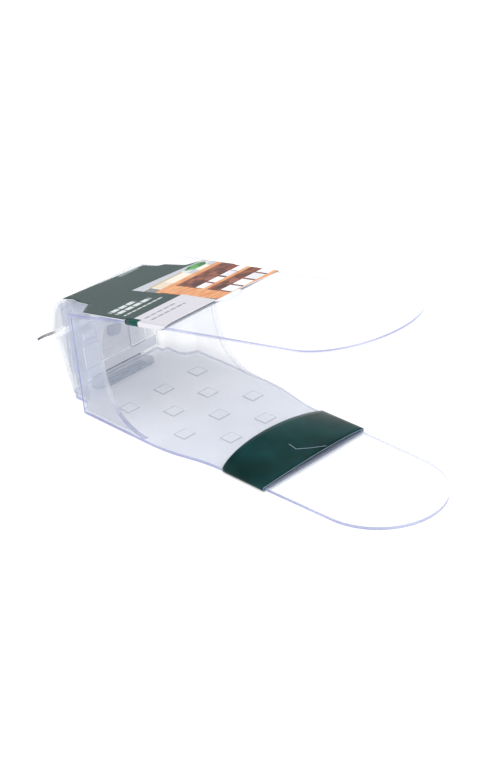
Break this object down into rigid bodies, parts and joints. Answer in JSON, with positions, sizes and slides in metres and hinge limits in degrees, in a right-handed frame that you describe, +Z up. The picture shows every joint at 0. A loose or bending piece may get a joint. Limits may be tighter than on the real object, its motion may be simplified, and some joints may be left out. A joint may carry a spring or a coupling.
{
  "type": "two-tier riser",
  "caption": "Clear two-tier riser: level lower tier with side walls and rear column, tilted height-adjustable upper tier, card wraps.",
  "frame": {"origin": "on the underside of the lower tier, on the middle plane, where the rear edges of the side walls stand", "axes": "+X across, +Y to the rear (the tiers point to -Y), +Z up"},
  "size_m": [0.1016, 0.3225, 0.1205],
  "materials": {
    "clear_plastic": "gloss",
    "printed_card": "gloss",
    "green_card": "gloss"
  },
  "bodies": {
    "base": {"lower_tier": "clear_plastic", "lower_band": "green_card"},
    "upper": {"upper_tier": "clear_plastic"},
    "lever": {"release_lever": "clear_plastic"},
    "sleeve": {"upper_sleeve": "printed_card"}
  },
  "joints": [
    {"name": "height_adjust", "type": "slide", "parent": "base", "child": "upper", "axis": [0, 0, 1], "range_m": [0, 0.02]},
    {"name": "release_flex", "type": "hinge", "parent": "upper", "child": "lever", "pos_m": [0, 0.0358, 0.0578], "axis": [1, 0, 0], "range_deg": [0, 8], "stiffness_Nm_per_rad": 0.6, "springref_deg": -2.86},
    {"name": "sleeve_slide", "type": "slide", "parent": "upper", "child": "sleeve", "axis": [0, -0.982, 0.1891], "range_m": [0, 0.2]}
  ]
}
